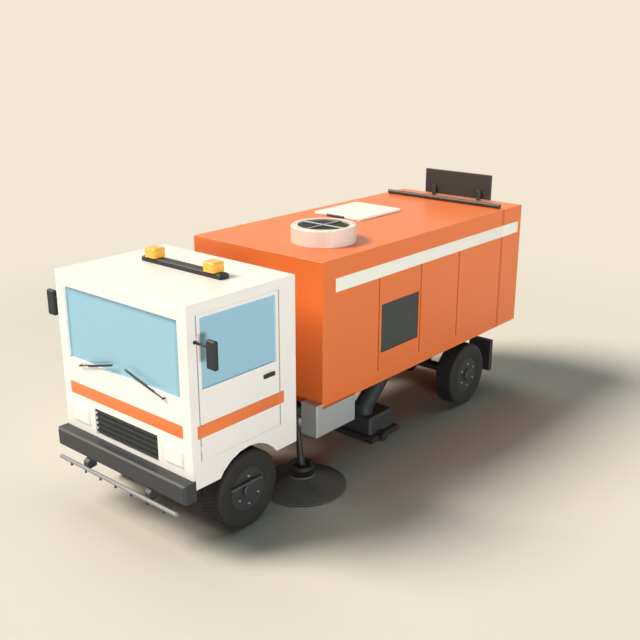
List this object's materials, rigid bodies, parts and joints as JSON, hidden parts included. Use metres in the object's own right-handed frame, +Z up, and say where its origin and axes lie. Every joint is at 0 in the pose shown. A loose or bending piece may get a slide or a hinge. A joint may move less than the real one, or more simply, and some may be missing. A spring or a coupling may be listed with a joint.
{
  "type": "street sweeper truck",
  "caption": "Two-axle forward-control truck with a tipping sweepings hopper, side cup brooms, suction mouths, roof fan, roof hatch, message board and front spray bar.",
  "frame": {"origin": "on the ground at the centre of the whole vehicle's box, standing parked on its tyres", "axes": "+Z up, -Y towards the front of the truck, +X towards its left side"},
  "size_m": [3.164, 7.5859, 3.5319],
  "materials": {
    "cab_white": "gloss",
    "body_orange": "gloss",
    "dark_paint": "satin",
    "chassis_paint": "satin",
    "hose_blue_grey": "satin",
    "hood_grey": "satin",
    "aluminium": "satin",
    "steel": "satin",
    "rim_paint": "satin",
    "tyre": "matt",
    "rubber": "matt",
    "cast": "rough",
    "glass": "clear tint",
    "lamp_glass": "clear",
    "amber": "gloss",
    "red_lens": "gloss",
    "black_plastic": "satin",
    "fabric": "woven",
    "bristle": "fibrous"
  },
  "bodies": {
    "chassis": {"chassis_frame": "chassis_paint", "front_axle": "cast", "rear_axle": "cast", "driveline": "cast", "cab_shell": "cab_white", "cab_roof": "cab_white", "cab_floor": "chassis_paint", "cab_glass": "glass", "grille": "dark_paint", "headlamps": "lamp_glass", "front_bumper": "dark_paint", "spray_bar": "steel", "wipers": "black_plastic", "mirrors": "black_plastic", "light_bar": "black_plastic", "beacons": "amber", "seats": "fabric", "dashboard": "black_plastic", "side_lockers": "aluminium", "suction_hoods": "hood_grey", "suction_skirts": "rubber", "suction_hoses": "hose_blue_grey", "rear_bar": "chassis_paint", "tail_lamps": "red_lens"},
    "door_left": {"door_left": "cab_white", "door_glass_left": "glass"},
    "door_right": {"door_right": "cab_white", "door_glass_right": "glass"},
    "hopper": {"hopper_shell": "body_orange", "hopper_roof": "body_orange", "tipping_lugs": "chassis_paint", "vent_panels": "dark_paint", "hinge_bar": "dark_paint", "fan_cowl": "cab_white", "fan_guard": "aluminium", "fan_grille": "dark_paint"},
    "fan_rotor": {"fan_rotor": "dark_paint"},
    "roof_hatch": {"roof_hatch": "cab_white"},
    "tailgate": {"tailgate": "body_orange", "arrow_board": "black_plastic"},
    "ram_barrel": {"ram_barrel": "dark_paint"},
    "ram_rod": {"ram_rod": "steel"},
    "knuckle_left": {"knuckle_left": "cast"},
    "knuckle_right": {"knuckle_right": "cast"},
    "wheel_front_left": {"rim_front_left": "rim_paint", "tyre_front_left": "tyre"},
    "wheel_front_right": {"rim_front_right": "rim_paint", "tyre_front_right": "tyre"},
    "wheel_rear_left": {"rim_rear_left": "rim_paint", "tyre_rear_left": "tyre"},
    "wheel_rear_right": {"rim_rear_right": "rim_paint", "tyre_rear_right": "tyre"},
    "broom_arm_left": {"broom_arm_left": "hose_blue_grey"},
    "broom_left": {"broom_left": "bristle"},
    "broom_arm_right": {"broom_arm_right": "hose_blue_grey"},
    "broom_right": {"broom_right": "bristle"},
    "roller_left": {"roller_left": "rubber"},
    "roller_right": {"roller_right": "rubber"}
  },
  "joints": [
    {"name": "steer_left", "type": "hinge", "parent": "chassis", "child": "knuckle_left", "pos_m": [0.88, -2.672, 0.507], "axis": [0, 0, 1], "range_deg": [-32, 32]},
    {"name": "steer_right", "type": "hinge", "parent": "chassis", "child": "knuckle_right", "pos_m": [-0.88, -2.672, 0.507], "axis": [0, 0, 1], "range_deg": [-32, 32]},
    {"name": "spin_front_left", "type": "hinge", "parent": "knuckle_left", "child": "wheel_front_left", "pos_m": [1.036, -2.672, 0.507], "axis": [1, 0, 0], "continuous": true},
    {"name": "spin_front_right", "type": "hinge", "parent": "knuckle_right", "child": "wheel_front_right", "pos_m": [-1.036, -2.672, 0.507], "axis": [1, 0, 0], "continuous": true},
    {"name": "spin_rear_left", "type": "hinge", "parent": "chassis", "child": "wheel_rear_left", "pos_m": [1.036, 2.342, 0.507], "axis": [1, 0, 0], "continuous": true},
    {"name": "spin_rear_right", "type": "hinge", "parent": "chassis", "child": "wheel_rear_right", "pos_m": [-1.036, 2.342, 0.507], "axis": [1, 0, 0], "continuous": true},
    {"name": "door_left_hinge", "type": "hinge", "parent": "chassis", "child": "door_left", "pos_m": [1.212, -3.417, 2], "axis": [0, 0, -1], "range_deg": [0, 70]},
    {"name": "door_right_hinge", "type": "hinge", "parent": "chassis", "child": "door_right", "pos_m": [-1.212, -3.417, 2], "axis": [0, 0, 1], "range_deg": [0, 70]},
    {"name": "hopper_tip", "type": "hinge", "parent": "chassis", "child": "hopper", "pos_m": [0, 3.002, 1], "axis": [-1, 0, 0], "range_deg": [0, 50]},
    {"name": "ram_swing", "type": "hinge", "parent": "chassis", "child": "ram_barrel", "pos_m": [0, 0.202, 0.905], "axis": [1, 0, 0], "range_deg": [0, 21.62]},
    {"name": "ram_extend", "type": "slide", "parent": "ram_barrel", "child": "ram_rod", "axis": [0, 0.9956, 0.0933], "range_m": [0, 0.7156]},
    {"name": "tailgate_hinge", "type": "hinge", "parent": "hopper", "child": "tailgate", "pos_m": [0, 3.207, 3.136], "axis": [1, 0, 0], "range_deg": [0, 80]},
    {"name": "hatch_hinge", "type": "hinge", "parent": "hopper", "child": "roof_hatch", "pos_m": [-0.4625, 2.062, 3.116], "axis": [-1, 0, 0], "range_deg": [0, 95]},
    {"name": "fan_spin", "type": "hinge", "parent": "hopper", "child": "fan_rotor", "pos_m": [0.412, -0.36, 3.226], "axis": [0, 0, 1], "continuous": true},
    {"name": "broom_swing_left", "type": "hinge", "parent": "chassis", "child": "broom_arm_left", "pos_m": [0.52, -2.058, 0.985], "axis": [0.3493, -0.175, 0.9205], "range_deg": [0, 22]},
    {"name": "broom_swing_right", "type": "hinge", "parent": "chassis", "child": "broom_arm_right", "pos_m": [-0.52, -2.058, 0.985], "axis": [0.3493, 0.175, -0.9205], "range_deg": [0, 22]},
    {"name": "broom_spin_left", "type": "hinge", "parent": "broom_arm_left", "child": "broom_left", "pos_m": [0.972, -1.469, 0.2], "axis": [0, 0, 1], "continuous": true},
    {"name": "broom_spin_right", "type": "hinge", "parent": "broom_arm_right", "child": "broom_right", "pos_m": [-0.972, -1.469, 0.2], "axis": [0, 0, 1], "continuous": true},
    {"name": "roller_spin_left", "type": "hinge", "parent": "chassis", "child": "roller_left", "pos_m": [1, 0.347, 0.066], "axis": [1, 0, 0], "continuous": true},
    {"name": "roller_spin_right", "type": "hinge", "parent": "chassis", "child": "roller_right", "pos_m": [-1, 0.347, 0.066], "axis": [1, 0, 0], "continuous": true}
  ],
  "couplings": [
    {"joint": "steer_right", "follows": "steer_left", "ratio": 1},
    {"joint": "ram_swing", "follows": "hopper_tip", "ratio": 0.4305},
    {"joint": "ram_extend", "follows": "hopper_tip", "m_per_rad": 0.8189}
  ]
}
